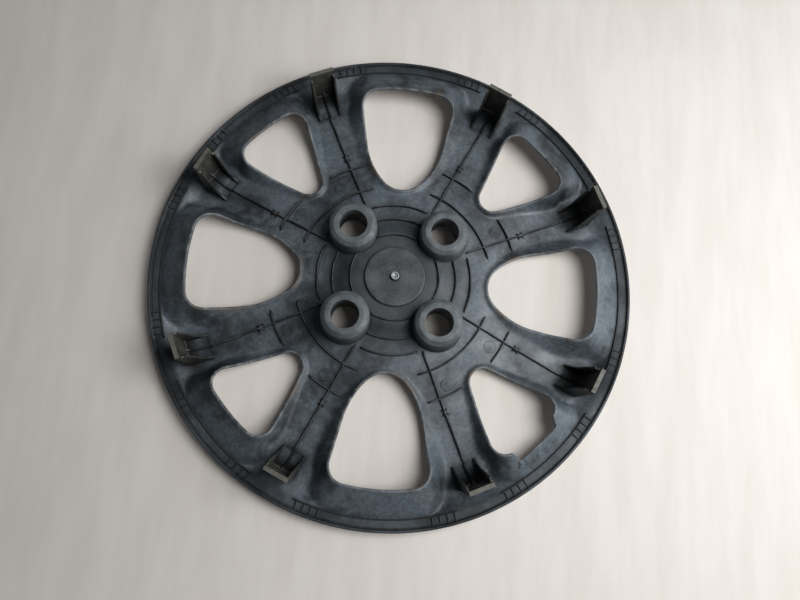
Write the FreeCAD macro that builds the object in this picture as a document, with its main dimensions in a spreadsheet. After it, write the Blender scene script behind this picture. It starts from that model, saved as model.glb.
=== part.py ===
"""Wheel cover for a 14 inch road wheel, lying face down with its back upwards.

Frame: origin on the resting plane under the cover's centre, +Z up out of the
cover's back. The four lug sleeves stand on the diagonals, so the large
windows lie on +X, +Y, -X and -Y and the small ones on the diagonals.
Lengths are in millimetres and angles in degrees.
"""
import FreeCAD, Part
import math
import os
import Sketcher
from FreeCAD import Placement, Rotation, Vector

UP = Vector(0, 0, 1)
ORIGIN = Vector(0, 0, 0)
QUARTERS = (0, 90, 180, 270)

doc = FreeCAD.newDocument("wheel_cover")


# ---------------------------------------------------------------- dimensions
DIMENSIONS = (
    # the moulded shell
    ("outer_radius", 190.5),
    ("wall", 2.4),
    ("lip_height", 10.8),
    ("lip_inner_radius", 188.3),
    ("rim_band_height", 9.4),
    ("rim_rounding", 0.4),
    ("rim_fold_radius", 181.0),
    ("rim_fold_height", 9.0),
    ("ring_outer_radius", 175.0),
    ("ring_outer_height", 4.4),
    ("trough_outer_radius", 170.0),
    ("trough_inner_radius", 146.0),
    ("spoke_low_radius", 125.0),
    ("spoke_low_height", 4.3),
    ("spoke_mid_radius", 100.0),
    ("spoke_mid_height", 6.9),
    ("hub_foot_radius", 78.0),
    ("hub_foot_height", 10.8),
    ("hub_edge_radius", 62.0),
    ("hub_edge_height", 13.0),
    ("hub_step_radius", 46.0),
    ("hub_step_height", 14.6),
    ("hub_top_radius", 37.0),
    ("hub_top_height", 18.4),
    ("crown_radius", 30.0),
    ("crown_height", 19.0),
    # windows: the edge stands highest at its outer side
    ("edge_tip_radius", 75.0),
    ("edge_tip_height", 13.2),
    ("edge_low_radius", 112.0),
    ("edge_low_height", 9.0),
    ("edge_bend_radius", 130.0),
    ("edge_bend_height", 10.0),
    ("edge_rise_radius", 147.0),
    ("edge_rise_height", 18.6),
    ("window_outer_radius", 158.9),
    ("edge_outer_height", 22.6),
    ("edge_width", 2.2),
    ("edge_thinning", 1.2),
    ("window_foot_height", 3.0),
    ("window_foot_reach", 31.0),
    ("large_foot_reach", 12.8),
    ("small_foot_reach", 8.4),
    ("large_tip_reach", 65.2),
    ("large_tip_angle", 42.7),
    ("large_tip_radius", 19.9),
    ("large_side_rise", 7.35),
    ("large_side_angle", 11.7),
    ("large_bend_radius", 62.0),
    ("large_corner_radius", 13.3),
    ("small_tip_reach", 80.1),
    ("small_side_angle", 24.0),
    ("small_tip_radius", 10.6),
    ("small_corner_radius", 10.6),
    # hub fittings
    ("disc_radius", 23.5),
    ("disc_thickness", 2.0),
    ("stub_foot_radius", 3.6),
    ("stub_top_radius", 3.2),
    ("stub_length", 2.6),
    ("bolt_circle_radius", 50.0),
    ("sleeve_foot_radius", 19.4),
    ("sleeve_top_radius", 18.4),
    ("sleeve_top_height", 34.0),
    ("sleeve_chamfer", 1.6),
    ("bore_radius", 10.7),
    # ribs
    ("rib_height", 2.4),
    ("rib_thickness", 1.2),
    ("rib_inner_end", 61.0),
    ("rib_outer_end", 154.0),
    ("rib_offset_angle", 19.8),
    ("nub_place", 110.5),
    ("nub_length", 6.5),
    ("cross_rib_radius", 99.6),
    ("cross_rib_start", 8.7),
    ("cross_rib_end", 25.6),
    ("arc_rib_radius", 77.2),
    ("arc_rib_end", 27.2),
    ("hub_ring_small", 34.4),
    ("hub_ring_middle", 48.4),
    ("hub_ring_large", 60.4),
    ("hub_ring_large_end", 21.6),
    ("pad_place", 92.0),
    ("pad_offset_angle", 14.3),
    ("pad_radius", 5.0),
    ("pad_height", 0.3),
    ("rim_rib_radius", 181.2),
    ("rim_rib_thickness", 1.0),
    ("rim_rib_height", 10.5),
    ("rim_rib_bottom", 7.8),
    ("ladder_height", 10.3),
    ("ladder_root", 0.2),
    ("rim_rib_large_end", 19.6),
    ("rim_rib_small_end", 14.4),
    ("ladder_pitch_angle", 1.8),
    ("ladder_large_end", 18.6),
    ("ladder_small_end", 13.6),
    # retaining clips
    ("clip_offset_angle", 20.0),
    ("clip_width", 19.0),
    ("clip_wall_inner", 166.2),
    ("clip_wall", 3.2),
    ("clip_top", 46.5),
    ("clip_top_chamfer", 0.5),
    ("clip_gap", 0.3),
    ("clip_cheek_wall", 1.3),
    ("cheek_root", 1.0),
    ("cheek_shoulder_place", 165.4),
    ("cheek_shoulder_height", 42.0),
    ("cheek_notch_place", 164.2),
    ("cheek_notch_height", 40.9),
    ("cheek_bump_place", 162.7),
    ("cheek_bump_height", 42.4),
    ("cheek_waist_place", 159.8),
    ("cheek_waist_height", 29.0),
    ("cheek_bend_place", 157.8),
    ("cheek_bend_height", 15.5),
    ("cheek_heel_place", 154.4),
    ("cheek_heel_height", 7.6),
    ("cheek_toe_place", 150.4),
    ("cheek_toe_height", 4.2),
    ("toe_lift", 0.8),
    ("ramp_ledge", 0.8),
    ("ramp_top", 15.0),
    ("ramp_bend_place", 162.6),
    ("ramp_bend_height", 8.6),
    ("ramp_toe_place", 156.4),
    ("ramp_toe_height", 3.7),
    ("ramp_lift", 0.5),
    ("ramp_rib_top", 19.5),
    ("ramp_rib_reach", 1.0),
    ("ramp_rib_rise", 1.2),
)

sheet = doc.addObject("Spreadsheet::Sheet", "sizes")
for row, (alias, value) in enumerate(DIMENSIONS, start=1):
    sheet.set("A%d" % row, alias)
    sheet.set("B%d" % row, str(value))
    sheet.setAlias("B%d" % row, alias)
doc.recompute()


def size(alias):
    """Value of one driving dimension."""
    return float(getattr(sheet, alias))


def bind(item, **expressions):
    """Tie properties of an object to cells of the sheet."""
    for name, text in expressions.items():
        item.setExpression(name.replace("__", "."), text)


def cell(alias):
    return "sizes." + alias


# ---------------------------------------------------------------- helpers
def revolved_body(name, profile):
    """Body turned about Z; profile is a loop of (radius expression, height expression)."""
    body = doc.addObject("PartDesign::Body", name)
    sketch = body.newObject("Sketcher::SketchObject", name + "_profile")
    plane = [item for item in body.Origin.OriginFeatures if item.Role == "XZ_Plane"][0]
    sketch.AttachmentSupport = [(plane, "")]
    sketch.MapMode = "FlatFace"
    corners = [(evaluate(radius), evaluate(height)) for radius, height in profile]
    for index, (radius, height) in enumerate(corners):
        next_radius, next_height = corners[(index + 1) % len(corners)]
        start = Vector(radius, height, 0)
        end = Vector(next_radius, next_height, 0)
        sketch.addGeometry(Part.LineSegment(start, end), False)
    for index in range(len(corners)):
        following = (index + 1) % len(corners)
        sketch.addConstraint(Sketcher.Constraint("Coincident", index, 2, following, 1))
    for index, (radius, height) in enumerate(profile):
        place_corner(sketch, index, "DistanceX", -2, radius)
        place_corner(sketch, index, "DistanceY", -1, height)
    turn = body.newObject("PartDesign::Revolution", name + "_turn")
    turn.Profile = sketch
    turn.ReferenceAxis = (sketch, ["V_Axis"])
    turn.Angle = 360
    doc.recompute()
    return body


def place_corner(sketch, index, kind, axis, expression):
    """Fix one coordinate of a sketch corner, on the axis itself where it is zero."""
    if expression == "0":
        sketch.addConstraint(Sketcher.Constraint("PointOnObject", index, 1, axis))
        return
    value = evaluate(expression)
    number = sketch.addConstraint(Sketcher.Constraint(kind, -1, 1, index, 1, value))
    sketch.setExpression("Constraints[%d]" % number, expression)


def evaluate(expression):
    """Value of a sum or difference of cells and numbers."""
    total = 0.0
    for term in expression.replace("- ", "+ -").split("+ "):
        term = term.strip()
        sign = -1.0 if term.startswith("-") else 1.0
        term = term.lstrip("-").strip()
        total += sign * (size(term[6:]) if term.startswith("sizes.") else float(term))
    return total


def feature(name, shape):
    """Object that holds a shape made with Part's own functions."""
    item = doc.addObject("Part::Feature", name)
    item.Shape = shape
    return item


def fused(name, pieces):
    if len(pieces) == 1:
        return pieces[0]
    item = doc.addObject("Part::MultiFuse", name)
    item.Shapes = pieces
    return item


def common(name, base, tool):
    item = doc.addObject("Part::Common", name)
    item.Base = base
    item.Tool = tool
    return item


def cut(name, base, tool):
    item = doc.addObject("Part::Cut", name)
    item.Base = base
    item.Tool = tool
    return item


def turned(item, angle):
    """Turn an object about the cover's axis."""
    item.Placement = Placement(ORIGIN, Rotation(UP, angle)).multiply(item.Placement)
    return item


def cylinder(name, radius, low, high, angle=360.0):
    item = doc.addObject("Part::Cylinder", name)
    bind(item, Radius=radius, Height="%s - (%s)" % (high, low))
    item.Placement.Base.z = evaluate(low)
    item.Angle = angle
    return item


def ring_sector(name, radius, thickness, low, high, start, end):
    """Thin upright arc about the cover's axis, between two angles."""
    outer = cylinder(name + "_outer", "%s + %s / 2" % (radius, thickness), low, high, end - start)
    inner = cylinder(name + "_inner", "%s - %s / 2" % (radius, thickness), low, high, end - start)
    turned(outer, start)
    turned(inner, start)
    return cut(name + "_arc", outer, inner)


def radial_box(name, inner, outer, width, low, high, angle):
    """Upright slab that runs outwards from the cover's axis at an angle."""
    item = doc.addObject("Part::Box", name)
    bind(item, Length="%s - %s" % (outer, inner), Width=width, Height="%s - (%s)" % (high, low))
    half = evaluate(width) / 2.0
    item.Placement = Placement(Vector(evaluate(inner), -half, evaluate(low)), Rotation())
    return turned(item, angle)


# ---------------------------------------------------------------- shell blank
BACK_LINE = (
    ("crown_radius", "crown_height"),
    ("hub_top_radius", "hub_top_height"),
    ("hub_step_radius", "hub_step_height"),
    ("hub_edge_radius", "hub_edge_height"),
    ("hub_foot_radius", "hub_foot_height"),
    ("spoke_mid_radius", "spoke_mid_height"),
    ("spoke_low_radius", "spoke_low_height"),
    ("trough_inner_radius", "wall"),
    ("trough_outer_radius", "wall"),
    ("ring_outer_radius", "ring_outer_height"),
    ("rim_fold_radius", "rim_fold_height"),
    ("lip_inner_radius", "rim_band_height"),
)


def surface_line(shift):
    """Corners of the back surface, moved up or down by the given terms."""
    line = [("0", cell("crown_height") + shift)]
    for radius, height in BACK_LINE:
        line.append((cell(radius), cell(height) + shift))
    return line


def front_line():
    """Corners of the front surface from rim to centre, one wall below the back."""
    down = " - " + cell("wall")
    line = [("0", cell("crown_height") + down)]
    for radius, height in BACK_LINE:
        line.append((cell(radius), "0" if height == "wall" else cell(height) + down))
    line.append((cell("outer_radius"), cell("rim_band_height") + down + " + " + cell("rim_rounding")))
    return line[::-1]


lip_line = [
    (cell("lip_inner_radius"), cell("lip_height")),
    (cell("outer_radius"), cell("lip_height")),
]
shell_blank = revolved_body("shell_blank", surface_line("") + lip_line + front_line())


def layer(name, height):
    """Layer of an even height lying on the back surface."""
    top = surface_line(" + " + height)
    return revolved_body(name, surface_line("") + top[::-1])


rib_layer = layer("rib_layer", cell("rib_height"))
pad_layer = layer("pad_layer", cell("pad_height"))
above_front = revolved_body(
    "above_front",
    front_line() + [("0", cell("clip_top")), (cell("outer_radius"), cell("clip_top"))],
)


# ---------------------------------------------------------------- windows
EDGE_LINE = (
    ("edge_tip_radius", "edge_tip_height"),
    ("edge_low_radius", "edge_low_height"),
    ("edge_bend_radius", "edge_bend_height"),
    ("edge_rise_radius", "edge_rise_height"),
    ("window_outer_radius", "edge_outer_height"),
)
# points on each curve of a window outline
CURVE_POINTS = 7


def direction(angle):
    return Vector(math.cos(math.radians(angle)), math.sin(math.radians(angle)), 0)


def round_centre(first, second, radius):
    """Centre of the arc of a radius that joins two side lines from inside.

    Each line is a point and an angle; the window lies below it.
    """
    point_a = first[0] - direction(first[1] + 90) * radius
    point_b = second[0] - direction(second[1] + 90) * radius
    along = direction(first[1])
    across = direction(second[1] + 90)
    travel = (point_b - point_a).dot(across) / along.dot(across)
    return point_a + along * travel


def corner_centre(side, radius, outer_radius):
    """Centre of the arc that joins a side line to the window's outer arc."""
    start = side[0] - direction(side[1] + 90) * radius
    along = direction(side[1])
    reach = outer_radius - radius
    half = start.dot(along)
    travel = -half + math.sqrt(half * half - start.dot(start) + reach * reach)
    return start + along * travel


def window_edges(sides, radii, grow, outer_grow):
    """Closed outline of a window in its own axes, grown sideways and outwards.

    sides are the lines of the upper half from the tip outwards; radii are
    those of the tip, the bends between sides and the outer corner.
    """
    moved = [(point + direction(slope + 90) * grow, slope) for point, slope in sides]
    rounds = [radius + grow for radius in radii]
    outer_radius = size("window_outer_radius") + outer_grow
    apex, slope = sides[0]
    tip_distance = radii[0] / math.sin(math.radians(slope))
    arcs = [(apex + Vector(tip_distance, 0, 0), rounds[0], 180.0, slope + 90)]
    for index in range(1, len(sides)):
        centre = round_centre(moved[index - 1], moved[index], rounds[index])
        arcs.append((centre, rounds[index], moved[index - 1][1] + 90, moved[index][1] + 90))
    corner = corner_centre(moved[-1], rounds[-1], outer_radius)
    corner_end = math.degrees(math.atan2(corner.y, corner.x))
    arcs.append((corner, rounds[-1], moved[-1][1] + 90, corner_end))
    upper = [arc_points(*arc) for arc in arcs]
    lower = [[Vector(point.x, -point.y, 0) for point in arc[::-1]] for arc in upper[::-1]]
    outer = arc_points(ORIGIN, outer_radius, corner_end, -corner_end)
    tip = [lower[-1][0], upper[0][0], upper[0][2]]
    loop = [tip] + upper[1:] + [outer] + lower[:-1]
    edges = []
    for index, arc in enumerate(loop):
        edges.append(Part.Arc(*arc).toShape())
        following = loop[(index + 1) % len(loop)]
        if (arc[2] - following[0]).Length > 1e-6:
            edges.append(Part.LineSegment(arc[2], following[0]).toShape())
    return edges


def edge_height(radius):
    """Height of a window's edge at a radius, with its bends rounded."""
    line = [(size(place), size(height)) for place, height in EDGE_LINE]
    shifts = (-5.0, -2.5, 0.0, 2.5, 5.0)
    return sum(between(line, radius + shift) for shift in shifts) / len(shifts)


def between(line, place):
    """Height on a broken line at a place, level beyond its ends."""
    if place <= line[0][0]:
        return line[0][1]
    for (start, low), (end, high) in zip(line, line[1:]):
        if place <= end:
            return low + (high - low) * (place - start) / (end - start)
    return line[-1][1]


def row(edges, height_at):
    """The same outline as smooth curves, each point at the height for its radius."""
    curves = []
    for edge in edges:
        points = edge.discretize(Number=CURVE_POINTS)
        lifted = [Vector(at.x, at.y, height_at(math.hypot(at.x, at.y))) for at in points]
        curve = Part.BSplineCurve()
        curve.interpolate(lifted)
        curves.append(curve.toShape())
    return curves


def ring_solid(rows):
    """Closed ring whose skin runs straight from each row of curves to the next."""
    faces = []
    for index, lower in enumerate(rows):
        upper = rows[(index + 1) % len(rows)]
        faces += [Part.makeRuledSurface(*pair) for pair in zip(lower, upper)]
    shell = Part.makeCompound(faces)
    shell.sewShape()
    solid = Part.Solid(shell.Shells[0])
    if solid.Volume < 0:
        solid.reverse()
    return solid


def arc_points(centre, radius, start, end):
    """Start, middle and end of an arc given by the directions of its ends."""
    return [centre + direction(turn) * radius for turn in (start, (start + end) / 2.0, end)]


LARGE_SIDES = [
    (Vector(size("large_tip_reach"), 0, 0), size("large_tip_angle")),
    (Vector(0, size("large_side_rise"), 0), size("large_side_angle")),
]
LARGE_ROUNDS = [size("large_tip_radius"), size("large_bend_radius"), size("large_corner_radius")]
SMALL_SIDES = [(Vector(size("small_tip_reach"), 0, 0), size("small_side_angle"))]
SMALL_ROUNDS = [size("small_tip_radius"), size("small_corner_radius")]
# how far the cutting solids of a window pass its edge, the resting plane and the highest edge
EXCESS = 1.5
BELOW = -1.0
ABOVE = 26.0


def window_solids(name, sides, rounds, side_reach, angle):
    """Opening, raised surround and hollow under the surround of one window."""
    edge = size("edge_width")
    reach = size("window_foot_reach")
    foot = size("window_foot_height")

    def surround(inset, drop, bottom):
        """Ring that slopes up from the foot to the window's edge."""
        outside = window_edges(sides, rounds, side_reach - inset, reach - inset)
        crest = window_edges(sides, rounds, edge - inset, edge - inset)
        inside = window_edges(sides, rounds, -EXCESS, -EXCESS)
        return ring_solid([
            row(outside, lambda radius: foot - drop),
            row(crest, lambda radius: edge_height(radius) - drop),
            row(inside, lambda radius: edge_height(radius) - drop),
            row(inside, lambda radius: bottom),
            row(outside, lambda radius: bottom),
        ])

    outline = Part.Wire(window_edges(sides, rounds, 0.0, 0.0))
    opening = Part.Face(outline).extrude(UP * (ABOVE - BELOW)).translated(UP * BELOW)
    rise = surround(0.0, 0.0, foot - size("wall"))
    hollow = surround(size("edge_thinning"), size("wall"), BELOW)
    solids = (("opening", opening), ("rise", rise), ("hollow", hollow))
    return [turned(feature("%s_%s" % (name, kind), solid), angle) for kind, solid in solids]


openings, rises, hollows = [], [], []
for number, angle in enumerate(QUARTERS, start=1):
    kinds = (
        ("large_window", LARGE_SIDES, LARGE_ROUNDS, size("large_foot_reach"), angle),
        ("small_window", SMALL_SIDES, SMALL_ROUNDS, size("small_foot_reach"), angle + 45),
    )
    for name, sides, rounds, side_reach, place in kinds:
        solids = window_solids("%s_%d" % (name, number), sides, rounds, side_reach, place)
        openings.append(solids[0])
        rises.append(solids[1])
        hollows.append(solids[2])

# broken outer edge of the fourth small window, in that window's own axes
CHIP_CORNERS = (
    (148.0, -2.0), (154.0, 23.5), (158.3, 20.6), (165.3, 18.4), (166.9, 14.8),
    (167.0, -19.0), (162.4, -19.8), (158.0, -20.4), (156.4, -22.6),
)
chip_points = [Vector(u, v, BELOW) for u, v in CHIP_CORNERS]
chip_face = Part.Face(Part.makePolygon(chip_points + chip_points[:1]))
chip = turned(feature("broken_edge", chip_face.extrude(UP * (ABOVE - BELOW))), 315)

bores = []
for number, angle in enumerate(QUARTERS, start=1):
    bore = cylinder("bore_%d" % number, cell("bore_radius"), "-1", cell("clip_top"))
    bore.Placement.Base.x = size("bolt_circle_radius")
    bores.append(turned(bore, angle + 45))

# ---------------------------------------------------------------- cover shell
surround = common("window_surrounds", fused("window_rises", rises), above_front)
open_blank = cut("open_blank", shell_blank, fused("window_hollows", hollows))
thin_surround = cut("thin_surrounds", surround, doc.getObject("window_hollows"))
solid_shell = fused("solid_shell", [open_blank, thin_surround])
cover_shell = cut("cover_shell", solid_shell, fused("all_openings", openings + [chip] + bores))
doc.recompute()

nodes = {}


def keep(name, item):
    """Name a finished sub-part after its node."""
    item.Label = name
    nodes[name] = item
    return item


keep("cover_shell", cover_shell)

# ---------------------------------------------------------------- hub fittings
centre_disc = cylinder(
    "centre_disc",
    cell("disc_radius"),
    cell("crown_height"),
    cell("crown_height") + " + " + cell("disc_thickness"),
)
keep("centre_disc", centre_disc)

sprue_stub = doc.addObject("Part::Cone", "sprue_stub")
bind(
    sprue_stub,
    Radius1=cell("stub_foot_radius"),
    Radius2=cell("stub_top_radius"),
    Height=cell("stub_length"),
)
sprue_stub.Placement.Base.z = size("crown_height") + size("disc_thickness")
keep("sprue_stub", sprue_stub)

for number, angle in enumerate(QUARTERS, start=1):
    name = "lug_sleeve_%d" % number
    post = doc.addObject("Part::Cone", name + "_post")
    bind(
        post,
        Radius1=cell("sleeve_foot_radius"),
        Radius2=cell("sleeve_top_radius"),
        Height=cell("sleeve_top_height"),
    )
    post.Placement.Base.x = size("bolt_circle_radius")
    turned(post, angle + 45)
    doc.recompute()
    rounded = doc.addObject("Part::Chamfer", name + "_rounded")
    rounded.Base = post
    top_edges = [
        index
        for index, edge in enumerate(post.Shape.Edges, start=1)
        if edge.Length > 1 and edge.CenterOfMass.z > size("sleeve_top_height") - 0.01
    ]
    rounded.Edges = [(index, size("sleeve_chamfer"), size("sleeve_chamfer")) for index in top_edges]
    tube = cut(name + "_tube", common(name + "_blank", rounded, above_front), bores[number - 1])
    keep(name, cut(name, tube, cover_shell))

# ---------------------------------------------------------------- ribs
# rib and pad tools run from inside the wall to above every rib
LOW = "0.5"
HIGH = "30"
SIDES = (("a", -1), ("b", 1))
spoke_slabs = {}


def spoke_angle(quarter, side, offset_alias):
    return quarter + 45 + side * size(offset_alias)


number = 0
for quarter in QUARTERS:
    for _, side in SIDES:
        number += 1
        name = "spoke_rib_%d" % number
        angle = spoke_angle(quarter, side, "rib_offset_angle")
        slab = radial_box(
            name + "_slab", cell("rib_inner_end"), cell("rib_outer_end"),
            cell("rib_thickness"), LOW, HIGH, angle,
        )
        spoke_slabs[(quarter, side)] = slab
        nubs = []
        for turn in (45, -45):
            nub = doc.addObject("Part::Box", "%s_nub_%s" % (name, "left" if turn > 0 else "right"))
            bind(nub, Length=cell("nub_length"), Width=cell("rib_thickness"), Height=HIGH)
            middle = Vector(-size("nub_length") / 2, -size("rib_thickness") / 2, 0)
            place = Placement(Vector(size("nub_place"), 0, 0), Rotation(UP, turn))
            nub.Placement = place.multiply(Placement(middle, Rotation()))
            nubs.append(turned(nub, angle))
        limits = sorted((side * size("cross_rib_start"), side * size("cross_rib_end")))
        cross = ring_sector(
            name + "_cross", cell("cross_rib_radius"), cell("rib_thickness"), LOW, HIGH,
            quarter + 45 + limits[0], quarter + 45 + limits[1],
        )
        whole = fused(name + "_tools", [slab, cross] + nubs)
        keep(name, cut(name, common(name + "_raised", whole, rib_layer), cover_shell))

for number, quarter in enumerate(QUARTERS, start=1):
    name = "arc_rib_%d" % number
    arc = ring_sector(
        name, cell("arc_rib_radius"), cell("rib_thickness"), LOW, HIGH,
        quarter + 45 - size("arc_rib_end"), quarter + 45 + size("arc_rib_end"),
    )
    beside = fused(name + "_slabs", [spoke_slabs[(quarter, -1)], spoke_slabs[(quarter, 1)]])
    cleared = cut(name + "_cleared", arc, beside)
    keep(name, cut(name, common(name + "_raised", cleared, rib_layer), cover_shell))

sleeve_spaces = []
for number, angle in enumerate(QUARTERS, start=1):
    space = cylinder("sleeve_space_%d" % number, cell("sleeve_foot_radius"), "0", HIGH)
    space.Placement.Base.x = size("bolt_circle_radius")
    sleeve_spaces.append(turned(space, angle + 45))
all_spaces = fused("sleeve_spaces", sleeve_spaces)

HUB_RINGS = (
    ("hub_ring_rib_inner", "hub_ring_small"),
    ("hub_ring_rib_middle", "hub_ring_middle"),
)
for name, alias in HUB_RINGS:
    ring = ring_sector(name, cell(alias), cell("rib_thickness"), LOW, HIGH, 0.0, 360.0)
    cleared = cut(name + "_cleared", ring, all_spaces)
    keep(name, cut(name, common(name + "_raised", cleared, rib_layer), cover_shell))

outer_arcs = []
for number, quarter in enumerate(QUARTERS, start=1):
    outer_arcs.append(ring_sector(
        "hub_ring_rib_outer_%d" % number, cell("hub_ring_large"), cell("rib_thickness"),
        LOW, HIGH, quarter - size("hub_ring_large_end"), quarter + size("hub_ring_large_end"),
    ))
outer_ring = fused("hub_ring_rib_outer_arcs", outer_arcs)
raised_ring = common("outer_ring_raised", outer_ring, rib_layer)
keep("hub_ring_rib_outer", cut("hub_ring_rib_outer", raised_ring, cover_shell))

pads = []
for quarter in QUARTERS:
    for letter, side in SIDES:
        pad = cylinder("pad_%d_%s" % (quarter, letter), cell("pad_radius"), LOW, HIGH)
        pad.Placement.Base.x = size("pad_place")
        pads.append(turned(pad, spoke_angle(quarter, side, "pad_offset_angle")))
raised_pads = common("pads_raised", fused("all_pads", pads), pad_layer)
keep("ejector_pads", cut("ejector_pads", raised_pads, cover_shell))

number = 0
LADDER_RUNGS = 4
for quarter in QUARTERS:
    kinds = (
        (quarter, "rim_rib_large_end", "ladder_large_end"),
        (quarter + 45, "rim_rib_small_end", "ladder_small_end"),
    )
    for middle, end_alias, ladder_alias in kinds:
        number += 1
        name = "rim_rib_%d" % number
        pieces = [ring_sector(
            name, cell("rim_rib_radius"), cell("rim_rib_thickness"), cell("rim_rib_bottom"),
            cell("rim_rib_height"), middle - size(end_alias), middle + size(end_alias),
        )]
        for side in (-1, 1):
            for rung in range(LADDER_RUNGS):
                offset = size(ladder_alias) - rung * size("ladder_pitch_angle")
                pieces.append(radial_box(
                    "%s_rung_%d_%d" % (name, side + 1, rung), cell("rim_rib_radius"),
                    cell("lip_inner_radius") + " + " + cell("ladder_root"), cell("rim_rib_thickness"),
                    cell("rim_rib_bottom"), cell("ladder_height"), middle + side * offset,
                ))
        keep(name, cut(name, fused(name + "_tools", pieces), cover_shell))

# ---------------------------------------------------------------- retaining clips
foot = size("wall") + size("clip_gap")
CHEEK_EDGE = ("shoulder", "notch", "bump", "waist", "bend", "heel", "toe")


def plate(corners, aside, thickness):
    """Upright plate along a radius, from its corners' places and heights."""
    points = [Vector(place, aside, height) for place, height in corners]
    face = Part.Face(Part.makePolygon(points + points[:1]))
    return face.extrude(Vector(0, thickness, 0))


def cheek(aside):
    """One side wall of a clip: wire notch behind a bump, then a long slope to the toe."""
    root = size("clip_wall_inner") + size("cheek_root")
    corners = [(root, foot), (root, size("cheek_shoulder_height"))]
    for part in CHEEK_EDGE:
        corners.append((size("cheek_%s_place" % part), size("cheek_%s_height" % part)))
    corners.append((size("cheek_toe_place"), foot + size("toe_lift")))
    return plate(corners, aside, size("clip_cheek_wall"))


def ramp(reach, rise, top, width):
    """Slope between the cheeks, from the clip's wall down to the spoke."""
    wall = size("clip_wall_inner")
    toe = size("ramp_toe_place") - reach
    corners = (
        (wall, foot), (wall, top),
        (wall - size("ramp_ledge") - reach, size("ramp_top") + rise),
        (size("ramp_bend_place") - reach, size("ramp_bend_height") + rise),
        (toe, size("ramp_toe_height") + rise), (toe, foot + size("ramp_lift")),
    )
    return plate(corners, -width / 2, width)


half_width = size("clip_width") / 2
clip_wall = Part.makeBox(
    size("clip_wall"), size("clip_width"), size("clip_top") - foot,
    Vector(size("clip_wall_inner"), -half_width, foot),
)
clip_wall = clip_wall.makeChamfer(size("clip_top_chamfer"), [
    edge for edge in clip_wall.Edges if edge.CenterOfMass.z > size("clip_top") - 0.01
])
cheeks = [cheek(-half_width), cheek(half_width - size("clip_cheek_wall"))]
floor_width = size("clip_width") - 2 * size("clip_cheek_wall")
floor = ramp(0.0, 0.0, size("ramp_top"), floor_width)
floor_rib = ramp(
    size("ramp_rib_reach"), size("ramp_rib_rise"), size("ramp_rib_top"), size("rib_thickness"),
)
clip_shape = clip_wall.fuse(cheeks + [floor, floor_rib]).removeSplitter()

number = 0
for quarter in QUARTERS:
    for _, side in SIDES:
        number += 1
        name = "retaining_clip_%d" % number
        clip = feature(name, clip_shape.copy())
        keep(name, turned(clip, spoke_angle(quarter, side, "clip_offset_angle")))

# ---------------------------------------------------------------- checks and export
doc.recompute()
for item in doc.Objects:
    if {"Invalid", "Error"} & set(item.State):
        raise RuntimeError("%s is %s" % (item.Label, item.State))
for name, item in nodes.items():
    if item.Shape.isNull() or not item.Shape.isValid() or not item.Shape.Solids:
        raise RuntimeError("%s has no valid solid" % name)

os.makedirs("parts", exist_ok=True)
for name, item in nodes.items():
    item.Shape.exportStep(os.path.join("parts", name + ".step"))
    box = item.Shape.BoundBox
    print("%-22s solids %2d  volume %9.1f  z %.2f to %.2f" % (
        name, len(item.Shape.Solids), item.Shape.Volume, box.ZMin, box.ZMax,
    ))
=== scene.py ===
"""Looks of a wheel cover that lies face down with its back upwards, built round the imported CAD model.

Lengths here are in millimetres and angles in degrees, as in the CAD source; they
become metres when a mesh is made. Plan points are arrays of (x, y) rows.
"""

import math

import bmesh
import bpy
import numpy as np
from mathutils import Matrix, Vector, kdtree
from mathutils.geometry import delaunay_2d_cdt


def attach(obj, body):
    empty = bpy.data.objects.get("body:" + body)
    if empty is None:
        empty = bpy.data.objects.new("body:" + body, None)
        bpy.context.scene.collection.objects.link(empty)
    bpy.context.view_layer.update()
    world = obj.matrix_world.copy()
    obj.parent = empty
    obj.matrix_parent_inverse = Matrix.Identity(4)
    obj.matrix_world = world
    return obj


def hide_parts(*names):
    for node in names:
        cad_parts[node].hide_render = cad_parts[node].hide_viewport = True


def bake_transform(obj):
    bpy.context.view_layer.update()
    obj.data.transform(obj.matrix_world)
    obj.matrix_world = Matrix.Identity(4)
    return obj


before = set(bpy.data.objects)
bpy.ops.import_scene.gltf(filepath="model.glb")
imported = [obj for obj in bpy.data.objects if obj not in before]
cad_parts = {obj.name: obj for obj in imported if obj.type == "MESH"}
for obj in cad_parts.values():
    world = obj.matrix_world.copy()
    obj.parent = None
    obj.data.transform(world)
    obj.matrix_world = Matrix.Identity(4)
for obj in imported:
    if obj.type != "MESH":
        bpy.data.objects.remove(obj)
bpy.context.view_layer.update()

MM = 0.001
rng = np.random.default_rng(7)

# ---------------------------------------------------------------- sizes of the cover
QUARTERS = (0.0, 90.0, 180.0, 270.0)
SIDES = (-1, 1)
WALL = 2.4
OUTER_RADIUS = 190.4
LIP_INNER_RADIUS = 188.3
LIP_HEIGHT = 10.8
# back surface from the centre outwards: radius and height
BACK_LINE = (
    (0.0, 19.0), (30.0, 19.0), (37.0, 18.4), (46.0, 14.6), (62.0, 13.0), (78.0, 10.8),
    (100.0, 6.9), (125.0, 4.3), (146.0, 2.4), (170.0, 2.4), (175.0, 4.4), (181.0, 9.0),
    (188.3, 9.4), (195.0, 9.6),
)
WINDOW_OUTER_RADIUS = 158.9
# height of a window's edge by distance from the centre
EDGE_LINE = (
    (75.0, 13.2), (112.0, 9.0), (130.0, 10.0), (147.0, 18.6), (158.9, 22.6),
)
WINDOW_EDGE_WIDTH = 1.6
SURROUND_FOOT_HEIGHT = 3.0
SURROUND_OUTER_REACH = 30.6
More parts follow.
